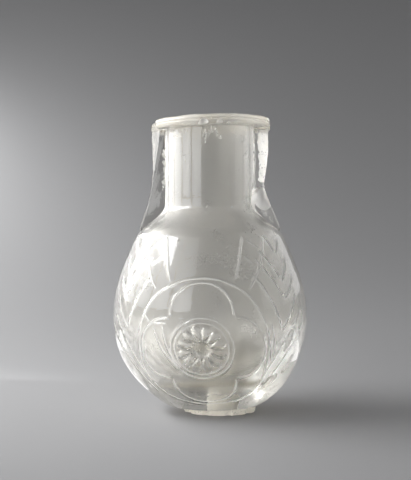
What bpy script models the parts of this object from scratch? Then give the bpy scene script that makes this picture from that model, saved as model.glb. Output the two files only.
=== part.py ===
"""Rock crystal flask with carved sides, a ring rim, the stumps of two broken handles and a low chipped foot.

The flask is carved from one block, so it is one solid. Metres, +Z up. The carved medallion faces -Y, the
handle stumps stand at -X and +X, and the origin is under the middle of the body, level with the foot's
underside.
"""

import math

import bmesh
import bpy
from mathutils import Matrix, Vector
from mathutils.geometry import interpolate_bezier

# Outside of the vessel
HEIGHT = 0.0900
BODY_RADIUS = 0.0300
WIDEST_HEIGHT = 0.0294
BOWL_DEPTH = 0.0312
BOWL_CUT_HEIGHT = 0.0022
SHOULDER_RADIUS = 0.0216
SHOULDER_HEIGHT = 0.0570
SHOULDER_SLOPE = 0.40
NECK_RADIUS = 0.0141
NECK_FILLET = 0.0068
RIM_OVERHANG = 0.0046
RIM_THICKNESS = 0.0031
RIM_ROUNDING = 0.0012
BORE_CHAMFER = 0.0005
RIM_TILT_DEG = 1.8

# How far the curves of the flank and the shoulder keep their end directions, as shares of their rise
FLANK_TOP_PULL = 0.34
FLANK_BOTTOM_PULL = 0.40
SHOULDER_TOP_PULL = 0.55
SHOULDER_BOTTOM_PULL = 0.25

# Inside of the vessel
WALL = 0.0023
CAVITY_FLOOR_HEIGHT = 0.0120
CAVITY_FLOOR_INSET = 0.0165
CAVITY_CORNER_INSET = 0.0100
CAVITY_CORNER_RISE = 0.0030
CAVITY_BOTTOM_PULL = 0.20
CAVITY_TOP_PULL = 0.30
DRILL_RADIUS = 0.0033
DRILL_BOTTOM_HEIGHT = 0.0030
DRILL_ROUNDING = 0.0015

# Foot, set off the axis as the real one is, and the lowest part of the bowl that follows it
FOOT_RADIUS = 0.0120
FOOT_TAPER = 0.0006
FOOT_OFFSET = 0.0030
FOOT_EMBED = 0.0018
BOWL_LEAN = 0.0011
LEAN_HEIGHT = 0.0168

# Handle stumps. Their outer edges are (share of the way up from shoulder to rim, share of the rim's overhang)
STUMP_THICKNESS = 0.0054
STUMP_ROUNDING = 0.0009
STUMP_SINK = 0.0011
LEFT_STUMP_EDGE = ((1.0, 0.97), (0.80, 0.84), (0.55, 0.78), (0.38, 0.88), (0.22, 1.10), (0.09, 1.42))
RIGHT_STUMP_EDGE = ((1.0, 0.99), (0.80, 0.94), (0.60, 0.78), (0.41, 0.56), (0.29, 0.80), (0.16, 1.18))

# Carving. Widths and depths of the wheel-cut lines, and sizes of the motifs on the surface
LINE_WIDTH = 0.0012
LINE_DEPTH = 0.0006
FINE_WIDTH = 0.0009
FINE_DEPTH = 0.00045
CUTTER_PROUD = 0.00025
RUN_OUT = 0.0012
MOST_RUN_OUT = 0.30
TIP_SHARE = 0.15
PANEL_TURN_DEG = -5.0
MEDALLION_HEIGHT = 0.0217
CIRCLE_RADIUS = 0.0206
LOBE_RADIUS = 0.0093
LOBE_REACH = 0.0100
RING_RADIUS = 0.0078
RING_GAP = 0.0014
HUB_RADIUS = 0.0024
HUB_RISE = 0.0005
BUTTON_RADIUS = 0.0033
PETALS = 12
PETAL_INNER = 0.0030
PETAL_OUTER = 0.0070
PETAL_WIDTH = 0.0022
PETAL_DEPTH = 0.0007

# Lines beside the great circle. A place is (degrees from the panel's middle, share of the flank's height)
CHEVRONS = (
    ((46.0, 0.91), (54.5, 0.71), (64.5, 0.89)),
    ((38.0, 0.75), (52.5, 0.42), (65.5, 0.70)),
    ((34.0, 0.66), (51.5, 0.23), (66.0, 0.49)),
    ((31.0, 0.49), (49.0, -0.09), (63.5, 0.28)),
)
CHEVRON_BOW = 0.10
STRAP = ((49.0, 0.96), (27.5, 0.33))
STRAP_BOW = -0.06
STRAP_EDGE = ((29.0, 0.91), (19.5, 0.42))
BARS = (((41.0, 0.75), (30.0, 0.86)), ((34.5, 0.58), (26.0, 0.70)))

# Chips, as (degrees round from -Y, share of the largest), on the foot's lower edge and under the ring's front
FOOT_CHIP_SIZE = 0.0017
FOOT_CHIPS = ((-62.0, 1.0), (-24.0, 0.65), (12.0, 0.76), (48.0, 0.94), (118.0, 0.82))
RIM_CHIP_SIZE = 0.0021
RIM_CHIPS = ((-6.0, 1.0), (9.0, 0.76), (17.0, 0.57))

# Resolution of the turned surfaces and of the carved lines
TURN_STEPS = 44
POINT_STEP = 0.0038
INNER_POINT_STEP = 0.0064
LINE_STEP = 0.0036
MAP_STEP = 0.0004
CURVE_SAMPLES = 120
MERGE_DISTANCE = 1e-7

# Values that follow from the ones above
BORE_RADIUS = NECK_RADIUS - WALL
RIM_RADIUS = NECK_RADIUS + RIM_OVERHANG
NECK_FOOT = SHOULDER_HEIGHT + NECK_FILLET
RIM_BOTTOM = HEIGHT - RIM_THICKNESS
FLANK_RISE = SHOULDER_HEIGHT - WIDEST_HEIGHT
FRONT_DEG = PANEL_TURN_DEG
BACK_DEG = PANEL_TURN_DEG + 180.0

CRYSTAL_COLOUR = (0.93, 0.94, 0.92, 1.0)


def clear_scene():
    """Removes everything from the startup scene."""
    for thing in list(bpy.data.objects):
        bpy.data.objects.remove(thing)


def new_collection(name):
    """A collection linked to the scene."""
    made = bpy.data.collections.new(name)
    bpy.context.scene.collection.children.link(made)
    return made


def crystal_material():
    """Clear, faintly warm rock crystal."""
    material = bpy.data.materials.new("rock_crystal")
    material.use_nodes = True
    shader = material.node_tree.nodes["Principled BSDF"]
    shader.inputs["Base Color"].default_value = CRYSTAL_COLOUR
    shader.inputs["Roughness"].default_value = 0.03
    shader.inputs["Metallic"].default_value = 0.0
    shader.inputs["IOR"].default_value = 1.544
    shader.inputs["Transmission Weight"].default_value = 1.0
    return material


# Outlines, as (radius, height) points


def thinned(points, step):
    """The points of a line, about one step apart, with both ends kept."""
    kept = [points[0]]
    for point in points[1:-1]:
        if (Vector(point) - Vector(kept[-1])).length >= step:
            kept.append(point)
    if len(kept) > 1 and (Vector(points[-1]) - Vector(kept[-1])).length < step / 3:
        kept.pop()
    return kept + [points[-1]]


def bezier(start, start_handle, end_handle, end, step):
    """A Bezier curve as points about one step apart."""
    corners = [Vector((*point, 0.0)) for point in (start, start_handle, end_handle, end)]
    fine = interpolate_bezier(*corners, CURVE_SAMPLES)
    return thinned([(point.x, point.y) for point in fine], step)


def bowl(step):
    """The rounded lower body: part of an ellipse, from the widest level down to its flat cut."""
    lowest = math.asin((WIDEST_HEIGHT - BOWL_CUT_HEIGHT) / BOWL_DEPTH)
    turns = [lowest * i / CURVE_SAMPLES for i in range(CURVE_SAMPLES + 1)]
    fine = [(BODY_RADIUS * math.cos(turn), WIDEST_HEIGHT - BOWL_DEPTH * math.sin(turn)) for turn in turns]
    return thinned(fine, step)


def flank(radius, shoulder_radius, shoulder_height, step):
    """The long side above the widest level, straightening up to the shoulder. It runs downwards."""
    rise = shoulder_height - WIDEST_HEIGHT
    return bezier(
        (shoulder_radius, shoulder_height),
        (shoulder_radius + SHOULDER_SLOPE * rise * FLANK_TOP_PULL, shoulder_height - rise * FLANK_TOP_PULL),
        (radius, WIDEST_HEIGHT + rise * FLANK_BOTTOM_PULL),
        (radius, WIDEST_HEIGHT),
        step,
    )


def shoulder(neck_radius, shoulder_radius, shoulder_height, fillet, step):
    """The flat curve from the neck out to the flank. It runs downwards."""
    pull = fillet * SHOULDER_BOTTOM_PULL
    return bezier(
        (neck_radius, shoulder_height + fillet),
        (neck_radius, shoulder_height + fillet * (1 - SHOULDER_TOP_PULL)),
        (shoulder_radius - SHOULDER_SLOPE * pull, shoulder_height + pull),
        (shoulder_radius, shoulder_height),
        step,
    )


def rim_outline():
    """The ring round the mouth, from the edge of the bore out, down and back to the neck."""
    corner = RIM_RADIUS - RIM_ROUNDING
    turns = [math.radians(degrees) for degrees in (90.0, 45.0, 0.0)]
    upper = [
        (corner + RIM_ROUNDING * math.cos(turn), HEIGHT - RIM_ROUNDING * (1 - math.sin(turn))) for turn in turns
    ]
    lower = [
        (corner + RIM_ROUNDING * math.cos(turn), RIM_BOTTOM + RIM_ROUNDING * (1 - math.sin(turn)))
        for turn in reversed(turns)
    ]
    return [(BORE_RADIUS + BORE_CHAMFER, HEIGHT)] + upper + lower + [(NECK_RADIUS, RIM_BOTTOM)]


def outer_outline():
    """The outside of the turned vessel, from the bore's edge down to the axis."""
    levels = max(round((RIM_BOTTOM - NECK_FOOT) / (POINT_STEP * 1.5)), 2)
    neck = [(NECK_RADIUS, RIM_BOTTOM + (NECK_FOOT - RIM_BOTTOM) * i / levels) for i in range(1, levels)]
    return (
        rim_outline()
        + neck
        + shoulder(NECK_RADIUS, SHOULDER_RADIUS, SHOULDER_HEIGHT, NECK_FILLET, POINT_STEP * 0.6)
        + flank(BODY_RADIUS, SHOULDER_RADIUS, SHOULDER_HEIGHT, POINT_STEP)[1:]
        + bowl(POINT_STEP)[1:]
        + [(0.0, BOWL_CUT_HEIGHT)]
    )


def inner_outline():
    """The inside of the turned vessel, from the middle of the cavity's floor up to the bore's edge."""
    widest = BODY_RADIUS - WALL
    floor_radius = BODY_RADIUS - CAVITY_FLOOR_INSET
    corner_radius = BODY_RADIUS - CAVITY_CORNER_INSET
    corner_height = CAVITY_FLOOR_HEIGHT + CAVITY_CORNER_RISE
    shoulder_radius = SHOULDER_RADIUS - WALL
    shoulder_height = SHOULDER_HEIGHT - WALL / 2
    corner = bezier(
        (floor_radius, CAVITY_FLOOR_HEIGHT),
        ((floor_radius + corner_radius) / 2, CAVITY_FLOOR_HEIGHT),
        (corner_radius - CAVITY_CORNER_RISE / 2, corner_height - CAVITY_CORNER_RISE / 2),
        (corner_radius, corner_height),
        INNER_POINT_STEP / 2,
    )
    side = WIDEST_HEIGHT - corner_height
    lower = bezier(
        (corner_radius, corner_height),
        (corner_radius + side * CAVITY_BOTTOM_PULL, corner_height + side * CAVITY_BOTTOM_PULL),
        (widest, WIDEST_HEIGHT - side * CAVITY_TOP_PULL),
        (widest, WIDEST_HEIGHT),
        INNER_POINT_STEP,
    )
    upper = flank(widest, shoulder_radius, shoulder_height, INNER_POINT_STEP)
    top = shoulder(BORE_RADIUS, shoulder_radius, shoulder_height, NECK_FILLET, INNER_POINT_STEP * 0.6)
    return (
        [(0.0, CAVITY_FLOOR_HEIGHT)]
        + corner
        + lower[1:]
        + list(reversed(upper))[1:]
        + list(reversed(top))[1:]
        + [(BORE_RADIUS, HEIGHT - BORE_CHAMFER)]
    )


# What the hand of the carver left off true


def eased(share):
    """A share eased in and out between 0 and 1."""
    share = min(max(share, 0.0), 1.0)
    return share * share * (3 - 2 * share)


def lean(height):
    """How far the bowl's axis has moved towards +X at a height."""
    return BOWL_LEAN * eased(1 - (height - BOWL_CUT_HEIGHT) / LEAN_HEIGHT)


def off_true(point):
    """A point of the turned vessel moved to where it is on the real one: the low bowl leans, the rim tilts."""
    rise = eased((point.z - NECK_FOOT) / (RIM_BOTTOM - NECK_FOOT))
    tilt = math.tan(math.radians(RIM_TILT_DEG))
    return Vector((point.x + lean(point.z), point.y, point.z + point.x * tilt * rise))


# Solids


def link(collection, name, mesh):
    """A new object for a mesh, in a collection."""
    thing = bpy.data.objects.new(name, mesh)
    collection.objects.link(thing)
    return thing


def evaluated_mesh(thing):
    """The object's mesh with its modifiers, its loose caps welded, in world space."""
    graph = bpy.context.evaluated_depsgraph_get()
    mesh = bpy.data.meshes.new_from_object(thing.evaluated_get(graph))
    mesh.transform(thing.matrix_world)
    shape = bmesh.new()
    shape.from_mesh(mesh)
    bmesh.ops.remove_doubles(shape, verts=shape.verts, dist=MERGE_DISTANCE)
    bmesh.ops.recalc_face_normals(shape, faces=shape.faces)
    shape.to_mesh(mesh)
    shape.free()
    return mesh


def made_mesh(collection, thing):
    """Replaces a curve or a modified object by a plain mesh object of the same name."""
    bpy.context.view_layer.update()
    mesh = evaluated_mesh(thing)
    name = thing.name
    bpy.data.objects.remove(thing)
    mesh.name = name
    return link(collection, name, mesh)


def turned_vessel(collection):
    """The hollow pear-shaped vessel with its ring rim, turned from one outline."""
    outline = inner_outline() + outer_outline()
    mesh = bpy.data.meshes.new("flask")
    mesh.from_pydata([(r, 0.0, z) for r, z in outline], [(i, i + 1) for i in range(len(outline) - 1)], [])
    vessel = link(collection, "flask", mesh)
    screw = vessel.modifiers.new("turn", "SCREW")
    screw.steps = TURN_STEPS
    screw.render_steps = TURN_STEPS
    screw.use_merge_vertices = True
    screw.merge_threshold = MERGE_DISTANCE
    vessel = made_mesh(collection, vessel)
    for vertex in vessel.data.vertices:
        vertex.co = off_true(vertex.co)
    return vessel


def boolean(thing, name, operation, collection):
    """Adds a live Boolean with all the objects of a collection."""
    modifier = thing.modifiers.new(name, "BOOLEAN")
    modifier.operation = operation
    modifier.solver = "EXACT"
    modifier.operand_type = "COLLECTION"
    modifier.collection = collection


def tool_from(tools, name, shape):
    """Turns a bmesh into a hidden helper object that is not part of the flask, in a collection."""
    bmesh.ops.recalc_face_normals(shape, faces=shape.faces)
    mesh = bpy.data.meshes.new(name)
    shape.to_mesh(mesh)
    shape.free()
    return as_tool(link(tools, name, mesh))


def as_tool(thing):
    """Marks an object as a helper that is not part of the flask."""
    thing.hide_render = True
    thing.display_type = "WIRE"
    return thing


def foot(tools):
    """The low round foot, off the vessel's axis."""
    top = BOWL_CUT_HEIGHT + FOOT_EMBED
    shape = bmesh.new()
    bmesh.ops.create_cone(
        shape,
        cap_ends=True,
        segments=TURN_STEPS,
        radius1=FOOT_RADIUS - FOOT_TAPER,
        radius2=FOOT_RADIUS,
        depth=top,
        matrix=Matrix.Translation((FOOT_OFFSET, 0.0, top / 2)),
    )
    tool_from(tools, "foot", shape)


def handle_stump(tools, name, side, edge):
    """A flat fin between the rim and the shoulder, what is left of a broken handle."""
    top = HEIGHT - RIM_THICKNESS / 2
    rise = top - SHOULDER_HEIGHT
    outer = [(NECK_RADIUS + RIM_OVERHANG * out, SHOULDER_HEIGHT + rise * up) for up, out in edge]
    outer += [(SHOULDER_RADIUS, SHOULDER_HEIGHT), (SHOULDER_RADIUS, SHOULDER_HEIGHT - WALL)]
    slope = shoulder(NECK_RADIUS, SHOULDER_RADIUS, SHOULDER_HEIGHT, NECK_FILLET, POINT_STEP)
    inner = [(radius - STUMP_SINK, height - STUMP_SINK) for radius, height in reversed(slope)]
    inner.append((NECK_RADIUS - STUMP_SINK, top))
    data = bpy.data.curves.new(name, "CURVE")
    data.dimensions = "2D"
    data.fill_mode = "BOTH"
    data.extrude = STUMP_THICKNESS / 2 - STUMP_ROUNDING
    data.bevel_depth = STUMP_ROUNDING
    data.bevel_resolution = 1
    data.offset = -STUMP_ROUNDING
    spline = data.splines.new("POLY")
    spline.points.add(len(outer + inner) - 1)
    for point, (radius, height) in zip(spline.points, outer + inner):
        point.co = (side * radius, height, 0.0, 1.0)
    spline.use_cyclic_u = True
    fin = link(tools, name, data)
    fin.rotation_euler = (math.radians(90), 0.0, 0.0)
    fin = made_mesh(tools, fin)
    for vertex in fin.data.vertices:
        vertex.co = off_true(vertex.co)
    as_tool(fin)


def drill_hole(tools):
    """The tool for the narrow hole left in the cavity's floor where the hollowing began."""
    top = CAVITY_FLOOR_HEIGHT + WALL
    bottom = DRILL_BOTTOM_HEIGHT + DRILL_ROUNDING
    shape = bmesh.new()
    bmesh.ops.create_cone(
        shape,
        cap_ends=True,
        segments=TURN_STEPS // 2,
        radius1=DRILL_RADIUS,
        radius2=DRILL_RADIUS,
        depth=top - bottom,
        matrix=Matrix.Translation((FOOT_OFFSET, 0.0, (top + bottom) / 2)),
    )
    cap = min(shape.faces, key=lambda face: face.calc_center_median().z)
    bmesh.ops.inset_region(shape, faces=[cap], thickness=DRILL_ROUNDING)
    bmesh.ops.translate(shape, verts=cap.verts[:], vec=(0.0, 0.0, -DRILL_ROUNDING))
    tool_from(tools, "drill_hole", shape)


# The carved surface, as a map: distances round it and along its outline


class Surface:
    """The outside below the neck. It turns a place on the unrolled surface into a point and a normal."""

    def __init__(self):
        outline = (
            shoulder(NECK_RADIUS, SHOULDER_RADIUS, SHOULDER_HEIGHT, NECK_FILLET, MAP_STEP)
            + flank(BODY_RADIUS, SHOULDER_RADIUS, SHOULDER_HEIGHT, MAP_STEP)[1:]
            + bowl(MAP_STEP)[1:]
        )
        self.outline = list(reversed(outline))
        self.length = [0.0]
        for before, after in zip(self.outline, self.outline[1:]):
            self.length.append(self.length[-1] + (Vector(after) - Vector(before)).length)
        self.middle = self.length_at(MEDALLION_HEIGHT)

    def length_at(self, height):
        """The distance along the outline, from the bowl's cut up to a height."""
        for i, (_, level) in enumerate(self.outline[1:], 1):
            if level >= height:
                below = self.outline[i - 1][1]
                share = (height - below) / max(level - below, 1e-9)
                return self.length[i - 1] + share * (self.length[i] - self.length[i - 1])
        return self.length[-1]

    def ring(self, along):
        """(radius, height, outward direction in the outline's plane) at a distance along the outline."""
        along = min(max(along, 0.0), self.length[-1])
        i = next((n for n, length in enumerate(self.length) if length >= along and n), 1)
        share = (along - self.length[i - 1]) / (self.length[i] - self.length[i - 1])
        low, high = Vector(self.outline[i - 1]), Vector(self.outline[i])
        place = low.lerp(high, share)
        direction = (high - low).normalized()
        return place.x, place.y, Vector((direction.y, -direction.x))

    def at_angle(self, angle, along, above=0.0):
        """The point above the surface at an angle round from -Y and a distance along the outline."""
        radius, height, outward = self.ring(along)
        radius, height = radius + outward.x * above, height + outward.y * above
        return off_true(Vector((radius * math.sin(angle), -radius * math.cos(angle), height)))

    def on_face(self, facing, across, up, above=0.0):
        """The point across and up from a medallion's centre, on the face turned by facing degrees."""
        along = self.middle + up
        radius = self.ring(along)[0]
        return self.at_angle(math.radians(facing) + across / radius, along, above)

    def at_height(self, degrees, height, above=0.0):
        """The point at an angle in degrees and a height."""
        return self.at_angle(math.radians(degrees), self.length_at(height), above)


SURFACE = Surface()


def extruded(sections, closed):
    """A shape made by extruding its first section through all the others, and back to it if it is closed."""
    shape = bmesh.new()
    start = shape.faces.new([shape.verts.new(corner) for corner in sections[0]])
    end = start
    route = sections + [sections[0]] if closed else sections
    for before, after in zip(route, route[1:]):
        grown = bmesh.ops.extrude_face_region(shape, geom=[end])["geom"]
        if end != start:
            bmesh.ops.delete(shape, geom=[end], context="FACES_ONLY")
        end = next(part for part in grown if isinstance(part, bmesh.types.BMFace))
        for vertex in end.verts:
            corner = min(range(len(before)), key=lambda n: (before[n] - vertex.co).length)
            vertex.co = after[corner]
    if closed:
        bmesh.ops.delete(shape, geom=[start, end], context="FACES_ONLY")
        bmesh.ops.remove_doubles(shape, verts=shape.verts, dist=MERGE_DISTANCE)
    return shape


def cut_line(tools, name, place, length, width=LINE_WIDTH, depth=LINE_DEPTH, closed=False):
    """A tool that cuts a V-shaped line. place(share, above) gives its points, and open ends run out shallow."""
    count = max(round(length / LINE_STEP), 2)
    if closed:
        shares = [i / count for i in range(count)]
    else:
        run_out = min(RUN_OUT / length, MOST_RUN_OUT)
        shares = [0.0] + [run_out + (1 - 2 * run_out) * i / (count - 1) for i in range(count)] + [1.0]
    sections = []
    for number, share in enumerate(shares):
        middle = place(share, 0.0)
        normal = (place(share, CUTTER_PROUD) - middle).normalized()
        nearby = 1 / CURVE_SAMPLES
        along = place(min(share + nearby, 1.0), 0.0) - place(max(share - nearby, 0.0), 0.0)
        side = along.cross(normal).normalized()
        tip = not closed and number in (0, len(shares) - 1)
        reach = width * TIP_SHARE if tip else width / 2 * (1 + CUTTER_PROUD / depth)
        lowest = middle + normal * (CUTTER_PROUD / 2 if tip else -depth)
        brow = middle + normal * CUTTER_PROUD
        sections.append([brow - side * reach, lowest, brow + side * reach])
    tool_from(tools, name, extruded(sections, closed))


def cut_circle(tools, name, radius, facing, centre=(0.0, 0.0), turn=(0.0, 360.0), **size):
    """A carved circle, or part of one, drawn on a face about a centre."""
    start, end = math.radians(turn[0]), math.radians(turn[1])

    def place(share, above):
        angle = start + (end - start) * share
        across, up = centre[0] + radius * math.cos(angle), centre[1] + radius * math.sin(angle)
        return SURFACE.on_face(facing, across, up, above)

    closed = turn[1] - turn[0] >= 360.0
    cut_line(tools, name, place, radius * (end - start), closed=closed, **size)


def cut_between(tools, name, start, end, bow=0.0, **size):
    """A carved line between two (degrees, share of the flank's height) places, bowed up by a share of it."""

    def place(share, above):
        degrees = start[0] + (end[0] - start[0]) * share
        up = start[1] + (end[1] - start[1]) * share
        up += bow * abs(end[1] - start[1]) * 4 * share * (1 - share)
        return SURFACE.at_height(degrees, WIDEST_HEIGHT + FLANK_RISE * up, above)

    length = (place(1.0, 0.0) - place(0.0, 0.0)).length
    cut_line(tools, name, place, length, **size)


def carve_face(tools, face, facing, plain):
    """The great circle, its four lobes and the ring or rings round the medallion, on one face."""
    cut_circle(tools, face + "_circle", CIRCLE_RADIUS, facing)
    half_turn = 135.0 - math.degrees(math.acos(LOBE_REACH / math.sqrt(2) / LOBE_RADIUS))
    for number in range(4):
        out = 90.0 * number
        centre = (LOBE_REACH * math.cos(math.radians(out)), LOBE_REACH * math.sin(math.radians(out)))
        turn = (out - half_turn, out + half_turn)
        cut_circle(tools, f"{face}_lobe_{number + 1}", LOBE_RADIUS, facing, centre, turn)
    fine = {"width": FINE_WIDTH, "depth": FINE_DEPTH}
    cut_circle(tools, face + "_ring_inner", RING_RADIUS, facing, **fine)
    if not plain:
        cut_circle(tools, face + "_ring_outer", RING_RADIUS + RING_GAP, facing, **fine)


def ball(tools, name, centre, long_way, across, radii, segments, rings):
    """A helper ball squashed to three radii: along long_way, across it, and out of the surface."""
    shape = bmesh.new()
    bmesh.ops.create_uvsphere(shape, u_segments=segments, v_segments=rings, radius=1.0)
    out = long_way.cross(across).normalized()
    side = out.cross(long_way).normalized()
    turn = Matrix((long_way.normalized(), side, out)).transposed().to_4x4()
    place = Matrix.Translation(centre) @ turn @ Matrix.Diagonal((*radii, 1.0))
    bmesh.ops.transform(shape, verts=shape.verts, matrix=place)
    tool_from(tools, name, shape)


def carve_petals(tools, facing):
    """The rosette: petals hollowed round the hub of a medallion."""
    middle = (PETAL_INNER + PETAL_OUTER) / 2
    radii = ((PETAL_OUTER - PETAL_INNER) / 2, PETAL_WIDTH / 2, PETAL_DEPTH)
    for number in range(PETALS):
        angle = 2 * math.pi * (number + 0.5) / PETALS
        out = Vector((math.cos(angle), math.sin(angle)))
        side = Vector((-out.y, out.x)) * PETAL_WIDTH
        centre = SURFACE.on_face(facing, *(out * middle))
        long_way = SURFACE.on_face(facing, *(out * PETAL_OUTER)) - centre
        across = SURFACE.on_face(facing, *(out * middle + side)) - centre
        ball(tools, f"petal_{number + 1}", centre, long_way, across, radii, 6, 4)


def boss(tools, name, radius, facing):
    """A low round boss in the middle of a medallion."""
    centre = SURFACE.on_face(facing, 0.0, 0.0)
    right = SURFACE.on_face(facing, radius, 0.0) - centre
    up = SURFACE.on_face(facing, 0.0, radius) - centre
    ball(tools, name, centre, right, up, (radius, radius, HUB_RISE), 14, 8)


def carve_sides(tools, face, facing, plain):
    """The chevron fields and the straps beside a great circle, left and right alike."""
    for mirror, side in ((-1, "left"), (1, "right")):
        name = f"{face}_{side}"

        def line(part, start, end, **form):
            ends = [(facing + mirror * degrees, up) for degrees, up in (start, end)]
            cut_between(tools, f"{name}_{part}", *ends, **form)

        for number, (inner, tip, outer) in enumerate(CHEVRONS, 1):
            line(f"chevron_{number}_inner", inner, tip, bow=CHEVRON_BOW)
            line(f"chevron_{number}_outer", outer, tip, bow=-CHEVRON_BOW)
        line("strap", *STRAP, bow=STRAP_BOW)
        if plain:
            continue
        line("strap_edge", *STRAP_EDGE)
        for number, (low, high) in enumerate(BARS, 1):
            line(f"bar_{number}", low, high, width=FINE_WIDTH, depth=FINE_DEPTH)


def chip(tools, name, centre, size, turn):
    """A tool that breaks a small faceted chip out of an edge."""
    shape = bmesh.new()
    bmesh.ops.create_icosphere(shape, subdivisions=1, radius=size)
    bmesh.ops.rotate(shape, verts=shape.verts, matrix=Matrix.Rotation(turn, 3, (0.4, 0.7, 0.6)))
    bmesh.ops.translate(shape, verts=shape.verts, vec=centre)
    tool_from(tools, name, shape)


def chip_edges(tools):
    """The chips round the foot and under the front of the ring."""
    for number, (degrees, share) in enumerate(FOOT_CHIPS, 1):
        angle = math.radians(degrees)
        centre = Vector((FOOT_OFFSET + FOOT_RADIUS * math.sin(angle), -FOOT_RADIUS * math.cos(angle), 0.0))
        chip(tools, f"foot_chip_{number}", centre, FOOT_CHIP_SIZE * share, angle)
    for number, (degrees, share) in enumerate(RIM_CHIPS, 1):
        angle = math.radians(degrees)
        centre = Vector((RIM_RADIUS * math.sin(angle), -RIM_RADIUS * math.cos(angle), RIM_BOTTOM))
        chip(tools, f"rim_chip_{number}", off_true(centre), RIM_CHIP_SIZE * share, angle)


def build():
    clear_scene()
    flask_parts = new_collection("rock_crystal_flask")
    additions = new_collection("added_shapes")
    lines = new_collection("carving_tools")
    vessel = turned_vessel(flask_parts)
    foot(additions)
    handle_stump(additions, "left_stump", -1, LEFT_STUMP_EDGE)
    handle_stump(additions, "right_stump", 1, RIGHT_STUMP_EDGE)
    boss(additions, "rosette_hub", HUB_RADIUS, FRONT_DEG)
    boss(additions, "back_button", BUTTON_RADIUS, BACK_DEG)
    drill_hole(lines)
    for face, facing, plain in (("front", FRONT_DEG, False), ("back", BACK_DEG, True)):
        carve_face(lines, face, facing, plain)
        carve_sides(lines, face, facing, plain)
    carve_petals(lines, FRONT_DEG)
    chip_edges(lines)
    boolean(vessel, "foot, stumps and bosses", "UNION", additions)
    boolean(vessel, "drill hole and carving", "DIFFERENCE", lines)
    vessel.data.materials.append(crystal_material())


build()
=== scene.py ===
"""Rock crystal flask, finished: a polished vessel carved with a medallion and chevrons.

Its two handles are broken away and its low foot is chipped. It stands in a plain pale studio.

Metres, +Z up. The medallion faces -Y and the broken handles stand at -X and +X, as in the frame.
"""

import math

import bpy
import numpy as np
from mathutils import Matrix, Vector, kdtree, noise
from mathutils.geometry import interpolate_bezier


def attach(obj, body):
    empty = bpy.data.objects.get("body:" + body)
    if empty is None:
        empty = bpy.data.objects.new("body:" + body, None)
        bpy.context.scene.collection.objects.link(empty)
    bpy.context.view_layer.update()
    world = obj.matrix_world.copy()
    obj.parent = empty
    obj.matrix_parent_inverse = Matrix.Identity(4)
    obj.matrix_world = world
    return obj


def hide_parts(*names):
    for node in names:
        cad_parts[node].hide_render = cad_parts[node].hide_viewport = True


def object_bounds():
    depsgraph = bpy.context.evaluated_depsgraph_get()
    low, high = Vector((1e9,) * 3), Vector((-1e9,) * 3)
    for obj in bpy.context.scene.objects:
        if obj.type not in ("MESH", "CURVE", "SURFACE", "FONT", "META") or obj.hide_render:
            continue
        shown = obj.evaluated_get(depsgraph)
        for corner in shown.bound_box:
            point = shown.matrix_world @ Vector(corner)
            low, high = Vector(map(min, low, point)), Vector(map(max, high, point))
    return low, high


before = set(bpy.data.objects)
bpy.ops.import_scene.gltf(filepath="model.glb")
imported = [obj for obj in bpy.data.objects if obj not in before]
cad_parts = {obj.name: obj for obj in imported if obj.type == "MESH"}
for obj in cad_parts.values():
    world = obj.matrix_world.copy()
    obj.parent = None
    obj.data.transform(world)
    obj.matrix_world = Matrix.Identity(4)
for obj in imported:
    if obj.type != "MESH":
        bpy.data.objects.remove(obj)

CAD_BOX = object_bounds()

# Outside of the vessel
HEIGHT = 0.0900
BODY_RADIUS = 0.0300
WIDEST_HEIGHT = 0.0294
BOWL_DEPTH = 0.0312
BOWL_CUT_HEIGHT = 0.0022
SHOULDER_RADIUS = 0.0216
SHOULDER_HEIGHT = 0.0570
SHOULDER_SLOPE = 0.40
NECK_RADIUS = 0.0141
NECK_FILLET = 0.0068
RIM_OVERHANG = 0.0046
RIM_THICKNESS = 0.0031
RIM_ROUNDING = 0.0012
BORE_CHAMFER = 0.0005
RIM_TILT = math.radians(1.8)
RIM_ARC_POINTS = 7
FLANK_TOP_PULL = 0.34
FLANK_BOTTOM_PULL = 0.40
SHOULDER_TOP_PULL = 0.55
SHOULDER_BOTTOM_PULL = 0.25

# The brow of the shoulder is worn round from this far below it, and this is how far the curve is pulled up
BROW_DROP = 0.0030
BROW_PULL = 0.0046

# Inside of the vessel
WALL = 0.0023
CAVITY_FLOOR_HEIGHT = 0.0120
CAVITY_FLOOR_INSET = 0.0165
CAVITY_CORNER_INSET = 0.0100
CAVITY_CORNER_RISE = 0.0030
CAVITY_BOTTOM_PULL = 0.20
CAVITY_TOP_PULL = 0.30
SHOULDER_EASE = 0.0026
DRILL_RADIUS = 0.0033
DRILL_BOTTOM_HEIGHT = 0.0030
DRILL_ROUNDING = 0.0015
DRILL_SIDES = 48
DRILL_CELL = 0.0006
DRILL_GRAIN = 0.0014
DRILL_UNEVENNESS = 0.00016

# Foot
FOOT_RADIUS = 0.0117
FOOT_TAPER = 0.0004
FOOT_OFFSET = 0.0030
BOWL_LEAN = 0.0011
LEAN_HEIGHT = 0.0168

# Values that follow from the ones above
BORE_RADIUS = NECK_RADIUS - WALL
RIM_RADIUS = NECK_RADIUS + RIM_OVERHANG
NECK_FOOT = SHOULDER_HEIGHT + NECK_FILLET
INNER_FILLET = NECK_FILLET + SHOULDER_EASE * 1.5
RIM_BOTTOM = HEIGHT - RIM_THICKNESS
FLANK_RISE = SHOULDER_HEIGHT - WIDEST_HEIGHT
BOWL_CUT_TURN = math.asin((WIDEST_HEIGHT - BOWL_CUT_HEIGHT) / BOWL_DEPTH)
BOWL_CUT_RADIUS = BODY_RADIUS * math.cos(BOWL_CUT_TURN)

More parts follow.
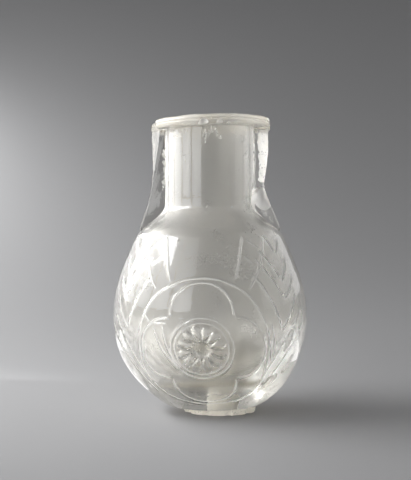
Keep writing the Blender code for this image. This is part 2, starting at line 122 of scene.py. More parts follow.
# Fineness of the mesh
TURN_STEPS = 128
OUTER_STEP = 0.0013
NECK_STEP = OUTER_STEP * 1.2
FOOT_STEP = OUTER_STEP * 0.5
UNDERSIDE_STEP = OUTER_STEP * 1.5
STUMP_STEP = OUTER_STEP * 3
SKIN_STEP = OUTER_STEP / 8
INNER_STEP = 0.0020
CORNER_STEP = INNER_STEP / 3
SHOULDER_STEP_SHARE = 0.6
CURVE_SAMPLES = 160
MERGE = 1e-6
SKIN_GAP = OUTER_STEP / 15
SMOOTH_ANGLE = math.radians(38)

# Noise: how fast its finer waves fade, how much finer each is, how many there are, and the shift of one seed
NOISE_FADE = 0.9
NOISE_REFINEMENT = 2.1
NOISE_WAVES = 3
NOISE_SHIFT = (7.31, 3.17, 5.71)

# Seeds: of wear, drill hole, swayed lines, wavy skin and flecks, and the first of each kind of damage
RIM_SEED = 1
FOOT_SEED = 2
DRILL_SEED = 3
SWAY_SEEDS = (4, 5, 6)
WAVE_SEED = 7
LUCK_SEED = 8
FIRST_SEED = {"shell": 1, "break": 11, "scar": 21, "foot_chip": 31, "rim_chip": 41, "fleck": 51}

# The line cut round the ring, and how uneven the ring, the foot and the polished outside are
RIM_LINE_DEPTH = 0.00022
RIM_WEAR = 0.00022
RIM_WEAR_SIZE = 0.0031
FOOT_WEAR = 0.00055
FOOT_WEAR_SIZE = 0.0019
WAVE_DEPTH = 0.00010
WAVE_SIZE = 0.0085

# Handle stumps, as (share of the way up from shoulder to rim, share of the rim's overhang)
STUMP_THICKNESS = 0.0054
STUMP_TAPER = 0.36
STUMP_BEVEL = 0.0006
STUMP_SINK = 0.0011
LEFT_STUMP_EDGE = ((1.0, 0.97), (0.80, 0.84), (0.55, 0.78), (0.38, 0.88), (0.22, 1.10), (0.09, 1.42))
RIGHT_STUMP_EDGE = ((1.0, 0.99), (0.80, 0.94), (0.60, 0.78), (0.41, 0.56), (0.29, 0.80), (0.16, 1.18))

# Where the handles broke off: a name, a place, the way the break faces, its width and length, its roughness
BREAKS = (
    ("right_break", (0.01675, -0.00025, 0.0788), (0.760, -0.650, 0.030), (0.0110, 0.0164), 0.00042),
    ("left_facet", (-0.0163, -0.0022, 0.0798), (-0.836, -0.549, 0.110), (0.0100, 0.0210), 0.00004),
)
BREAK_GRAIN = 0.0016
BREAK_CELLS = (30, 50)

# Shells split off: a place, the way they face, their width, height and depth, their turn in degrees against
# the clock, and how ragged their bed is
SMOOTH_BED = 0.07
DULL_BED = 0.10
ROUGH_BED = 0.22
RAGGED_BED = 0.45
SMALL_SHELL = 0.0030
SHELLS = (
    ((0.0158, -0.0041, 0.0650), (0.45, -0.88, 0.10), (0.0080, 0.0100, 0.0046), 12.0, DULL_BED),
    ((0.0138, -0.0030, 0.0675), (0.50, -0.87, 0.00), (0.0014, 0.0054, 0.0016), -50.0, ROUGH_BED),
    ((0.0128, -0.0058, 0.0631), (0.60, -0.80, 0.00), (0.0008, 0.0062, 0.0012), 19.0, ROUGH_BED),
    ((0.0165, -0.0030, 0.0603), (0.20, -0.90, 0.35), (0.0040, 0.0010, 0.0018), -40.0, SMOOTH_BED),
    ((0.0179, 0.0030, 0.0890), (0.90, 0.20, 0.30), (0.0030, 0.0034, 0.0024), 0.0, ROUGH_BED),
    ((0.0176, -0.0052, 0.0902), (0.80, -0.40, 0.50), (0.0032, 0.0022, 0.0018), 0.0, ROUGH_BED),
    ((0.0172, -0.0040, 0.0872), (0.85, -0.45, -0.20), (0.0026, 0.0020, 0.0020), 0.0, ROUGH_BED),
    ((0.0270, -0.0132, 0.0290), (0.90, -0.44, 0.00), (0.0022, 0.0070, 0.0011), -15.0, ROUGH_BED),
    ((0.0233, -0.0182, 0.0235), (0.76, -0.60, -0.20), (0.0026, 0.0088, 0.0013), -25.0, ROUGH_BED),
    ((0.0233, -0.0145, 0.0165), (0.76, -0.47, -0.45), (0.0030, 0.0078, 0.0014), -30.0, ROUGH_BED),
    ((0.0177, -0.0174, 0.0115), (0.58, -0.58, -0.57), (0.0025, 0.0066, 0.0013), -35.0, ROUGH_BED),
    ((-0.0260, -0.0138, 0.0225), (-0.88, -0.47, -0.15), (0.0020, 0.0078, 0.0011), 20.0, ROUGH_BED),
)

# White flecks where the left handle broke from the neck, along a crooked line of (across, height)
FLECK_LINE = ((-0.0143, 0.0800), (-0.0138, 0.0753), (-0.0142, 0.0708), (-0.0146, 0.0678))
FLECKS = 12
FLECK_FRONT = -0.0028
FLECK_FACING = (-0.30, -0.95, 0.0)
FLECK_SIZE = (0.0010, 0.0019, 0.0008)
FLECK_TURN = 90.0

# Scars on the neck just under the ring, as (degrees from -Y, height, width, length)
SCARS = (
    (-9.5, 0.0850, 0.0008, 0.0034),
    (-6.0, 0.0842, 0.0009, 0.0052),
    (-2.0, 0.0850, 0.0008, 0.0038),
    (2.5, 0.0856, 0.0008, 0.0026),
    (7.5, 0.0848, 0.0009, 0.0040),
    (12.5, 0.0836, 0.0008, 0.0013),
    (-37.0, 0.0856, 0.0064, 0.0013),
    (-44.0, 0.0842, 0.0050, 0.0010),
    (-55.0, 0.0862, 0.0040, 0.0022),
)
SCAR_DEPTH = 0.0010

# Chips on the foot's edge and under the ring's, as (degrees from -Y, share of the size)
FOOT_CHIP_SIZE = 0.0017
FOOT_CHIPS = ((-62.0, 1.0), (-24.0, 0.65), (12.0, 0.76), (48.0, 0.94), (118.0, 0.82))
RIM_CHIP_SIZE = 0.0018
RIM_CHIPS = ((-6.0, 0.8), (9.0, 0.6), (17.0, 0.5))

# Carving
LINE_WIDTH = 0.00100
LINE_DEPTH = 0.00036
FINE_WIDTH = 0.00082
FINE_DEPTH = 0.00027
BACK_SHARE = 0.38
MATTE_ABOVE = 0.56
BORDER_SHIFT = 0.00012
SOFTNESS = 0.00014
RUN_OUT = 0.0014
SAMPLE_STEP = 0.00007
LEAST_SAMPLES = 8
LENGTH_SAMPLES = 9
HAND_SWAY = 0.00016
SWAY_SIZE = 0.0060
PANEL_TURN = math.radians(-5.0)
BACK_TURN = PANEL_TURN + math.pi
MEDALLION_HEIGHT = 0.0217
CIRCLE_RADIUS = 0.0206
LOBE_RADIUS = 0.0093
LOBE_REACH = 0.0100
RING_RADIUS = 0.0078
RING_GAP = 0.0014
HUB_RADIUS = 0.0025
HUB_RISE = 0.00070
BUTTON_RADIUS = 0.0033
PETALS = 12
PETAL_INNER = 0.0027
PETAL_OUTER = 0.0072
PETAL_WIDTH = 0.0025
PETAL_DEPTH = 0.0009
# The medallion's painted highlights: lines this wide along these ridges between petals, and round this share
# of the hub between these degrees, get the frosted finish and cut nothing
RIDGE_WIDTH = 0.00062
HIGHLIT_RIDGES = (15, 45, 75, 105, 165, 195, 225, 285, 315)
HUB_HIGHLIGHT = (150.0, 300.0)
HUB_HIGHLIGHT_SHARE = 0.6

# Lines beside the great circle. A place is (degrees from the panel's middle, share of the flank's height)
CHEVRONS = (
    ((46.0, 0.91), (54.5, 0.71), (64.5, 0.89)),
    ((38.0, 0.75), (52.5, 0.42), (65.5, 0.70)),
    ((34.0, 0.66), (51.5, 0.23), (66.0, 0.49)),
    ((31.0, 0.49), (49.0, -0.09), (63.5, 0.28)),
)
CHEVRON_BOW = 0.10
STRAP = ((49.0, 0.96), (27.5, 0.33))
STRAP_BOW = -0.06
STRAP_EDGE = ((29.0, 0.91), (19.5, 0.42))
BARS = (((41.0, 0.75), (30.0, 0.86)), ((34.5, 0.58), (26.0, 0.70)))
SIDE_BORDERS = (((66.0, 0.06), (50.0, -0.22), (40.0, -0.66)), ((74.0, -0.04), (56.0, -0.32), (42.0, -0.80)))

# Short lines that only the front has, as (start, bend, end) in metres across and up from the middle of the
# medallion
FRONT_TOUCHES = (
    ((-0.0157, 0.0075), (-0.0128, 0.0079), (-0.0098, 0.0076)),
    ((-0.0189, 0.0106), (-0.0170, 0.0090), (-0.0158, 0.0076)),
    ((-0.0118, 0.0076), (-0.0116, 0.0006), (-0.0058, -0.0063)),
    ((-0.0150, 0.0068), (-0.0126, -0.0002), (-0.0064, -0.0067)),
    ((0.0079, 0.0154), (0.0089, 0.0132), (0.0096, 0.0108)),
    ((0.0208, 0.0080), (0.0238, 0.0010), (0.0212, -0.0058)),
)

# How near a carved line the mesh is made finer, once for each halving, on the front and on the plainer back
FRONT_REACHES = (0.0021, 0.0012, 0.00062)
BACK_REACHES = (0.0015, 0.0008, 0.0)


# Outlines, as (radius, height) points


def thinned(points, step):
    """The points of a line, about one step apart, with both ends kept."""
    kept = [points[0]]
    for point in points[1:-1]:
        if (Vector(point) - Vector(kept[-1])).length >= step:
            kept.append(point)
    if len(kept) > 1 and (Vector(points[-1]) - Vector(kept[-1])).length < step / 3:
        kept.pop()
    return kept + [points[-1]]


def bezier(start, start_handle, end_handle, end, step):
    """A Bezier curve as points about one step apart."""
    corners = [Vector((*point, 0.0)) for point in (start, start_handle, end_handle, end)]
    fine = interpolate_bezier(*corners, CURVE_SAMPLES)
    return thinned([(point.x, point.y) for point in fine], step)


def arc(centre, radius, start, end, count):
    """Part of a circle, as points between two angles in degrees."""
    turns = np.radians(np.linspace(start, end, count))
    return [(centre[0] + radius * math.cos(turn), centre[1] + radius * math.sin(turn)) for turn in turns]


def straight(start, end, step):
    """A straight run as points about one step apart, without its ends."""
    count = max(round((Vector(end) - Vector(start)).length / step), 1)
    return [tuple(Vector(start).lerp(Vector(end), i / count)) for i in range(1, count)]


def bowl(step):
    """The rounded lower body, from the widest level down to its flat cut."""
    turns = np.linspace(0.0, BOWL_CUT_TURN, CURVE_SAMPLES)
    fine = [(BODY_RADIUS * math.cos(turn), WIDEST_HEIGHT - BOWL_DEPTH * math.sin(turn)) for turn in turns]
    return thinned(fine, step)


def flank(radius, shoulder_radius, shoulder_height, step):
    """The long side from the shoulder down to the widest level."""
    rise = shoulder_height - WIDEST_HEIGHT
    return bezier(
        (shoulder_radius, shoulder_height),
        (shoulder_radius + SHOULDER_SLOPE * rise * FLANK_TOP_PULL, shoulder_height - rise * FLANK_TOP_PULL),
        (radius, WIDEST_HEIGHT + rise * FLANK_BOTTOM_PULL),
        (radius, WIDEST_HEIGHT),
        step,
    )


def shoulder(neck_radius, shoulder_radius, shoulder_height, step, fillet=NECK_FILLET):
    """The flat curve from the neck down and out to the flank."""
    pull = fillet * SHOULDER_BOTTOM_PULL
    return bezier(
        (neck_radius, shoulder_height + fillet),
        (neck_radius, shoulder_height + fillet * (1 - SHOULDER_TOP_PULL)),
        (shoulder_radius - SHOULDER_SLOPE * pull, shoulder_height + pull),
        (shoulder_radius, shoulder_height),
        step,
    )


def skin_outline(step):
    """The carved outside, from the neck's foot over the worn brow of the shoulder down to the bowl's cut."""
    side = flank(BODY_RADIUS, SHOULDER_RADIUS, SHOULDER_HEIGHT, step)
    side = [point for point in side if point[1] < SHOULDER_HEIGHT - BROW_DROP]
    upward = (Vector(side[0]) - Vector(side[1])).normalized()
    brow = bezier(
        (NECK_RADIUS, NECK_FOOT),
        (NECK_RADIUS, NECK_FOOT - NECK_FILLET * SHOULDER_TOP_PULL),
        Vector(side[0]) + upward * BROW_PULL,
        side[0],
        step * SHOULDER_STEP_SHARE,
    )
    return brow + side[1:] + bowl(step)[1:]


def rim_outline():
    """The ring, from the edge of the bore out, down and back to the neck."""
    corner = RIM_RADIUS - RIM_ROUNDING
    inside = (BORE_RADIUS + BORE_CHAMFER, HEIGHT)
    under = (NECK_RADIUS, RIM_BOTTOM)
    upper = arc((corner, HEIGHT - RIM_ROUNDING), RIM_ROUNDING, 90, 0, RIM_ARC_POINTS)
    line = [(RIM_RADIUS - RIM_LINE_DEPTH, HEIGHT - RIM_THICKNESS / 2)]
    lower = arc((corner, RIM_BOTTOM + RIM_ROUNDING), RIM_ROUNDING, 0, -90, RIM_ARC_POINTS)
    return (
        [inside] + straight(inside, upper[0], OUTER_STEP) + upper + line + lower
        + straight(lower[-1], under, OUTER_STEP) + [under]
    )


def foot_outline():
    """The low foot, from the flat under the bowl out, down and in to the axis."""
    top = (FOOT_RADIUS, BOWL_CUT_HEIGHT)
    edge = (FOOT_RADIUS - FOOT_TAPER, 0.0)
    cut = (BOWL_CUT_RADIUS, BOWL_CUT_HEIGHT)
    return (
        straight(cut, top, FOOT_STEP) + [top] + straight(top, edge, FOOT_STEP) + [edge]
        + straight(edge, (0.0, 0.0), UNDERSIDE_STEP) + [(0.0, 0.0)]
    )


def outer_outline():
    """The whole outside, from the bore's edge down to the middle of the foot's underside."""
    neck = straight((NECK_RADIUS, RIM_BOTTOM), (NECK_RADIUS, NECK_FOOT), NECK_STEP)
    return rim_outline() + neck + skin_outline(OUTER_STEP) + foot_outline()


def inner_outline():
    """The inside, from the middle of the cavity's floor up to the bore's edge."""
    widest = BODY_RADIUS - WALL
    floor_radius = BODY_RADIUS - CAVITY_FLOOR_INSET
    corner_radius = BODY_RADIUS - CAVITY_CORNER_INSET
    corner_height = CAVITY_FLOOR_HEIGHT + CAVITY_CORNER_RISE
    shoulder_radius = SHOULDER_RADIUS - WALL + SHOULDER_SLOPE * SHOULDER_EASE / 2
    shoulder_height = SHOULDER_HEIGHT - WALL / 2 - SHOULDER_EASE
    corner = bezier(
        (floor_radius, CAVITY_FLOOR_HEIGHT),
        ((floor_radius + corner_radius) / 2, CAVITY_FLOOR_HEIGHT),
        (corner_radius - CAVITY_CORNER_RISE / 2, corner_height - CAVITY_CORNER_RISE / 2),
        (corner_radius, corner_height),
        CORNER_STEP,
    )
    side = WIDEST_HEIGHT - corner_height
    lower = bezier(
        (corner_radius, corner_height),
        (corner_radius + side * CAVITY_BOTTOM_PULL, corner_height + side * CAVITY_BOTTOM_PULL),
        (widest, WIDEST_HEIGHT - side * CAVITY_TOP_PULL),
        (widest, WIDEST_HEIGHT),
        INNER_STEP,
    )
    upper = flank(widest, shoulder_radius, shoulder_height, INNER_STEP)
    step = INNER_STEP * SHOULDER_STEP_SHARE
    top = shoulder(BORE_RADIUS, shoulder_radius, shoulder_height, step, INNER_FILLET)
    mouth = (BORE_RADIUS, HEIGHT - BORE_CHAMFER)
    middle = (0.0, CAVITY_FLOOR_HEIGHT)
    return (
        [middle] + straight(middle, corner[0], INNER_STEP) + corner + lower[1:] + upper[::-1][1:]
        + top[::-1][1:] + straight(top[0], mouth, INNER_STEP) + [mouth]
    )


# What the hand of the carver left off true


def eased(share):
    """A share eased in and out between 0 and 1."""
    share = np.clip(share, 0.0, 1.0)
    return share * share * (3 - 2 * share)


def lean(height):
    """How far the bowl's axis has moved towards +X at a height."""
    return BOWL_LEAN * eased(1 - (height - BOWL_CUT_HEIGHT) / LEAN_HEIGHT)


def off_true(points):
    """Points of the turned vessel moved off true: the low bowl leans, the foot is off it, the rim tilts."""
    x, y, z = points.T
    radius = np.hypot(x, y)
    rise = eased((z - NECK_FOOT) / (RIM_BOTTOM - NECK_FOOT))
    inward = np.clip((BOWL_CUT_RADIUS - radius) / (BOWL_CUT_RADIUS - FOOT_RADIUS), 0.0, 1.0)
    under = z < BOWL_CUT_HEIGHT + MERGE
    aside = np.where(under, BOWL_LEAN + (FOOT_OFFSET - BOWL_LEAN) * inward, lean(z))
    return np.column_stack((x + aside, y, z + x * math.tan(RIM_TILT) * rise))


# Kinds of surface, in the order of the material slots
POLISHED, GROUND, BROKEN, DRILLED, WORN, FROSTED = range(6)


def unevenness(points, size, seed):
    """Noise between -1 and 1 at points, with features of about one size."""
    shift = Vector([seed * part for part in NOISE_SHIFT])
    values = [
        noise.fractal(Vector(point) + shift, NOISE_FADE, NOISE_REFINEMENT, NOISE_WAVES)
        for point in np.asarray(points) / size
    ]
    return np.array(values).clip(-1.0, 1.0)


def worn_away(points, size, seed):
    """The same noise, between 0 and 1."""
    return 0.5 + 0.5 * unevenness(points, size, seed)


# Working on meshes


def deselect():
    bpy.ops.object.select_all(action="DESELECT")


def only(thing):
    """Makes one object the selected and active one."""
    deselect()
    thing.select_set(True)
    bpy.context.view_layer.objects.active = thing


def vectors(parts, name):
    """A vector that each of a mesh's points or faces has, as the rows of an array."""
    found = np.empty(len(parts) * 3)
    parts.foreach_get(name, found)
    return found.reshape(-1, 3)


def coordinates(thing):
    return vectors(thing.data.vertices, "co")


def normals(thing):
    return vectors(thing.data.vertices, "normal")


def face_centres(thing):
    return vectors(thing.data.polygons, "center")


def set_coordinates(thing, points):
    thing.data.vertices.foreach_set("co", np.ascontiguousarray(points).ravel())
    thing.data.update()


def finish_with(thing, kinds):
    """Gives a mesh every finish, and each face its own kind, or all faces the same one."""
    thing.data.materials.clear()
    for material in FINISHES:
        thing.data.materials.append(material)
    slots = np.broadcast_to(np.asarray(kinds, dtype=np.int32), (len(thing.data.polygons),))
    thing.data.polygons.foreach_set("material_index", np.ascontiguousarray(slots))


def select_faces(thing, flags):
    """Selects faces by their flags, and opens the object in edit mode."""
    only(thing)
    mesh = thing.data
    mesh.vertices.foreach_set("select", np.zeros(len(mesh.vertices), bool))
    mesh.edges.foreach_set("select", np.zeros(len(mesh.edges), bool))
    mesh.polygons.foreach_set("select", flags)
    bpy.ops.object.mode_set(mode="EDIT")
    bpy.ops.mesh.select_mode(type="FACE")


def edit_all():
    """Opens the active object in edit mode, with all of it selected."""
    bpy.ops.object.mode_set(mode="EDIT")
    bpy.ops.mesh.select_all(action="SELECT")


def leave_edit():
    bpy.ops.object.mode_set(mode="OBJECT")


def drawn_line(name, points):
    """A single point of mesh, extruded from place to place along an outline."""
    deselect()
    bpy.ops.mesh.primitive_plane_add(size=OUTER_STEP)
    thing = bpy.context.object
    thing.name = name
    bpy.ops.object.mode_set(mode="EDIT")
    bpy.ops.mesh.select_mode(type="VERT")
    bpy.ops.mesh.merge(type="CENTER")
    bpy.ops.transform.translate(value=points[0])
    for before, after in zip(points, points[1:]):
        step = Vector(after) - Vector(before)
        bpy.ops.mesh.extrude_region_move(TRANSFORM_OT_translate={"value": step})
    leave_edit()
    return thing


def spin_round(steps, inside=False):
    """Turns the active drawn line round the upright axis into a skin that faces outwards or inside."""
    edit_all()
    bpy.ops.mesh.spin(steps=steps, angle=math.tau, center=(0, 0, 0), axis=(0, 0, 1))
    bpy.ops.mesh.select_all(action="SELECT")
    bpy.ops.mesh.remove_doubles(threshold=MERGE)
    bpy.ops.mesh.normals_make_consistent(inside=inside)
    leave_edit()


def draw_out(step):
    """Draws the selected faces of the mesh in edit mode out into a closed block."""
    bpy.ops.mesh.extrude_region_move(TRANSFORM_OT_translate={"value": step})
    bpy.ops.mesh.select_all(action="SELECT")
    bpy.ops.mesh.normals_make_consistent(inside=False)
    leave_edit()


def round_edges(thing, width, segments, angle):
    """Rounds the edges of a mesh that are sharper than an angle in degrees."""
    bevel = thing.modifiers.new("worn edges", "BEVEL")
    bevel.width = width
    bevel.segments = segments
    bevel.limit_method = "ANGLE"
    bevel.angle_limit = math.radians(angle)
    only(thing)
    bpy.ops.object.modifier_apply(modifier=bevel.name)


def turned_vessel():
    """The hollow vessel with its ring and foot, spun from one outline."""
    outline = inner_outline() + outer_outline()
    thing = drawn_line("rock_crystal_flask", [(radius, 0.0, height) for radius, height in outline])
    spin_round(TURN_STEPS)
    finish_with(thing, surface_kinds(face_centres(thing)))
    points = wear_down(thing, coordinates(thing))
    set_coordinates(thing, off_true(points))
    return thing


def surface_kinds(centres):
    """The kind of finish at places of the turned vessel, before anything is off true."""
    outline = np.array(inner_outline()[1:])
    x, y, z = centres.T
    radius = np.hypot(x, y)
    inside = radius < np.interp(z, outline[:, 1], outline[:, 0]) + WALL / 4
    inside &= z > CAVITY_FLOOR_HEIGHT - MERGE
    ring = (z > RIM_BOTTOM - MERGE) & ~inside
    foot = (z < BOWL_CUT_HEIGHT + MERGE) & ~inside
    kinds = np.full(len(centres), POLISHED)
    kinds[inside] = GROUND
    kinds[ring] = WORN
    kinds[foot] = BROKEN
    return kinds


def wear_down(thing, points):
    """Points of the turned vessel, with the ring worn uneven and the foot's edge crumbled."""
    facing = normals(thing)
    radius = np.hypot(points[:, 0], points[:, 1])
    ring = (points[:, 2] > RIM_BOTTOM - MERGE) & (radius > NECK_RADIUS + MERGE)
    ease = eased((radius[ring] - NECK_RADIUS) / (RIM_OVERHANG / 3))
    depth = RIM_WEAR * ease * worn_away(points[ring], RIM_WEAR_SIZE, RIM_SEED)
    points[ring] -= facing[ring] * depth[:, None]
    foot = (points[:, 2] < BOWL_CUT_HEIGHT - MERGE) & (radius > FOOT_RADIUS - FOOT_TAPER - MERGE)
    loss = FOOT_WEAR * worn_away(points[foot], FOOT_WEAR_SIZE, FOOT_SEED) / radius[foot]
    points[foot, :2] *= (1 - loss)[:, None]
    return points


def boolean(thing, tools, operation):
    """Joins or cuts with the tools, and removes them."""
    collection = bpy.data.collections.new("tools")
    for tool in tools:
        collection.objects.link(tool)
    only(thing)
    modifier = thing.modifiers.new(operation.lower(), "BOOLEAN")
    modifier.operation = operation
    modifier.solver = "EXACT"
    modifier.operand_type = "COLLECTION"
    modifier.collection = collection
    bpy.ops.object.modifier_apply(modifier=modifier.name)
    for tool in tools:
        bpy.data.objects.remove(tool)
    bpy.data.collections.remove(collection)


def handle_stump(name, side, edge):
    """A flat fin between ring and shoulder: what is left of a broken handle."""
    top = HEIGHT - RIM_THICKNESS / 2
    rise = top - SHOULDER_HEIGHT
    outer = [(NECK_RADIUS + RIM_OVERHANG * out, SHOULDER_HEIGHT + rise * up) for up, out in edge]
    outer += [(SHOULDER_RADIUS, SHOULDER_HEIGHT), (SHOULDER_RADIUS, SHOULDER_HEIGHT - WALL)]
    slope = shoulder(NECK_RADIUS, SHOULDER_RADIUS, SHOULDER_HEIGHT, STUMP_STEP)
    inner = [(radius - STUMP_SINK, height - STUMP_SINK) for radius, height in reversed(slope)]
    inner.append((NECK_RADIUS - STUMP_SINK, top))
    half = STUMP_THICKNESS / 2
    thing = drawn_line(name, [(side * radius, -half, height) for radius, height in outer + inner])
    edit_all()
    bpy.ops.mesh.edge_face_add()
    draw_out((0.0, STUMP_THICKNESS, 0.0))
    points = coordinates(thing)
    thinner = 1 - STUMP_TAPER * np.clip((np.abs(points[:, 0]) - NECK_RADIUS) / RIM_OVERHANG, 0.0, 1.0)
    points[:, 1] *= thinner
    set_coordinates(thing, points)
    round_edges(thing, STUMP_BEVEL, segments=3, angle=60)
    finish_with(thing, POLISHED)
    set_coordinates(thing, off_true(coordinates(thing)))
    return thing


def roughened(thing, size, depth, seed):
    """Moves a mesh's points in and out by noise."""
    points = coordinates(thing)
    set_coordinates(thing, points + normals(thing) * (depth * unevenness(points, size, seed))[:, None])


def placed(thing, middle, facing, turn=0.0):
    """Stands a tool at a place with its own +Z outwards, turned in degrees, and keeps that in its mesh."""
    outward = Vector(facing).normalized()
    across = Vector((0.0, 0.0, 1.0)).cross(outward).normalized()
    stand = Matrix((across, outward.cross(across), outward)).transposed().to_4x4()
    thing.matrix_world = Matrix.Translation(middle) @ stand @ Matrix.Rotation(math.radians(turn), 4, "Z")
    only(thing)
    bpy.ops.object.transform_apply()
    return thing


def sized(name, size=(1.0, 1.0, 1.0)):
    """The primitive that was just added, with a name and a size, and its place kept in its mesh."""
    thing = bpy.context.object
    thing.name = name
    thing.scale = size
    bpy.ops.object.transform_apply()
    return thing


def break_tool(name, middle, facing, size, roughness, seed):
    """A block with one rough face, which takes away all that stands out in front of that face."""
    deselect()
    bpy.ops.mesh.primitive_grid_add(x_subdivisions=BREAK_CELLS[0], y_subdivisions=BREAK_CELLS[1], size=1.0)
    thing = sized(name, (*size, 1.0))
    roughened(thing, BREAK_GRAIN, roughness, seed)
    edit_all()
    draw_out((0.0, 0.0, STUMP_THICKNESS * 2))
    finish_with(thing, BROKEN if roughness > STUMP_BEVEL / 2 else POLISHED)
    return placed(thing, middle, facing)


def shell_tool(name, middle, facing, size, turn, raggedness, seed):
    """An uneven pebble, which leaves the shell-shaped bed of a chip."""
    deselect()
    bpy.ops.mesh.primitive_ico_sphere_add(subdivisions=3 if max(size) < SMALL_SHELL else 4, radius=0.5)
    thing = sized(name, size)
    roughened(thing, min(size), min(size) * raggedness, seed)
    finish_with(thing, {SMOOTH_BED: POLISHED, DULL_BED: FROSTED}.get(raggedness, BROKEN))
    return placed(thing, middle, facing, turn)


def outwards(degrees):
    """The level direction at degrees round from -Y, towards +X."""
    turn = math.radians(degrees)
    return Vector((math.sin(turn), -math.cos(turn), 0.0))


def shells(kind, values):
    """A pebble for each of a row of (middle, facing, size, turn, raggedness)."""
    return [shell_tool(f"{kind}_{seed}", *each, seed) for seed, each in enumerate(values, FIRST_SEED[kind])]


def scars():
    """Where the scars on the neck are, and their form."""
    for degrees, height, width, length in SCARS:
        out = outwards(degrees)
        middle = out * (NECK_RADIUS + SCAR_DEPTH / 6) + Vector((0.0, 0.0, height))
        yield middle, out, (width, length, SCAR_DEPTH), 0.0, RAGGED_BED


def edge_chips(chips, size, radius, centre):
    """Where the chips on a round edge are, and their form."""
    for degrees, share in chips:
        out = outwards(degrees)
        yield out * radius + Vector(centre), out, (size * share * 2,) * 3, 0.0, ROUGH_BED


def flecks():
    """Where the flecks are along the crooked line beside the left handle, and their form."""
    shares = np.linspace(0.0, 1.0, FLECKS)
    corners = np.linspace(0.0, 1.0, len(FLECK_LINE))
    across, heights = (np.interp(shares, corners, values) for values in zip(*FLECK_LINE))
    chance = unevenness(np.column_stack((across, shares, heights)), FLECK_SIZE[0] / 2, LUCK_SEED)
    for x, height, luck in zip(across, heights, chance):
        middle = (x + luck * FLECK_SIZE[0] / 3, FLECK_FRONT, height)
        size = [length * (1 + luck / 2) for length in FLECK_SIZE]
        yield middle, FLECK_FACING, size, luck * FLECK_TURN, RAGGED_BED


def chip_tools():
    """Every tool that breaks something away from the joined vessel."""
    breaks = [break_tool(*each, seed) for seed, each in enumerate(BREAKS, FIRST_SEED["break"])]
    foot = edge_chips(FOOT_CHIPS, FOOT_CHIP_SIZE, FOOT_RADIUS, (FOOT_OFFSET, 0.0, 0.0))
    rim = edge_chips(RIM_CHIPS, RIM_CHIP_SIZE, RIM_RADIUS, (0.0, 0.0, RIM_BOTTOM))
    return (
        breaks + shells("shell", SHELLS) + shells("scar", scars())
        + shells("foot_chip", foot) + shells("rim_chip", rim) + shells("fleck", flecks())
    )


def drill_tool():
    """The tool for the narrow hole left in the cavity's floor where the hollowing began."""
    top = CAVITY_FLOOR_HEIGHT + WALL
    deselect()
    bpy.ops.mesh.primitive_cylinder_add(
        vertices=DRILL_SIDES,
        radius=DRILL_RADIUS,
        depth=top - DRILL_BOTTOM_HEIGHT,
        location=(FOOT_OFFSET, 0.0, (top + DRILL_BOTTOM_HEIGHT) / 2),
    )
    thing = sized("drill")
    round_edges(thing, DRILL_ROUNDING, segments=5, angle=30)
    bpy.ops.object.mode_set(mode="EDIT")
    for height in np.arange(DRILL_BOTTOM_HEIGHT + DRILL_ROUNDING, top - DRILL_ROUNDING, DRILL_CELL):
        bpy.ops.mesh.select_all(action="SELECT")
        bpy.ops.mesh.bisect(plane_co=(0.0, 0.0, height), plane_no=(0.0, 0.0, 1.0))
    leave_edit()
    roughened(thing, DRILL_GRAIN, DRILL_UNEVENNESS, DRILL_SEED)
    finish_with(thing, DRILLED)
    return thing


# The carved surface as a map: an angle round from -Y, and a distance along the outline


class Skin:
    """The outside below the neck."""

    def __init__(self):
        outline = np.array(skin_outline(SKIN_STEP)[::-1])
        steps = np.diff(outline, axis=0)
        self.radius, self.height = outline.T
        self.length = np.concatenate([[0.0], np.cumsum(np.hypot(*steps.T))])
        direction = np.gradient(outline, self.length, axis=0)
        direction /= np.linalg.norm(direction, axis=1)[:, None]
        self.out_radius, self.out_height = direction[:, 1], -direction[:, 0]
        self.middle = self.along(MEDALLION_HEIGHT)

    def along(self, height):
        return np.interp(height, self.height, self.length)

    def ring(self, along):
        """The radius at distances along the outline."""
        return np.interp(along, self.length, self.radius)

    def points(self, angle, along):
        """Points on the surface, before anything is off true."""
        radius = self.ring(along)
        height = np.interp(along, self.length, self.height)
        return np.column_stack((radius * np.sin(angle), -radius * np.cos(angle), height))

    def outward(self, angle, along):
        """The surface's normals."""
        flat = np.interp(along, self.length, self.out_radius)
        up = np.interp(along, self.length, self.out_height)
        return np.column_stack((flat * np.sin(angle), -flat * np.cos(angle), up))

    def on_face(self, facing, across, up):
        """Points across and up from a medallion's centre, on the face turned by facing."""
        along = self.middle + up
        return self.points(facing + across / self.ring(along), along)

    def on_flank(self, angle, share):
        """Points at angles and shares of the flank's height."""
        return self.points(angle, self.along(WIDEST_HEIGHT + FLANK_RISE * share))


SKIN = Skin()


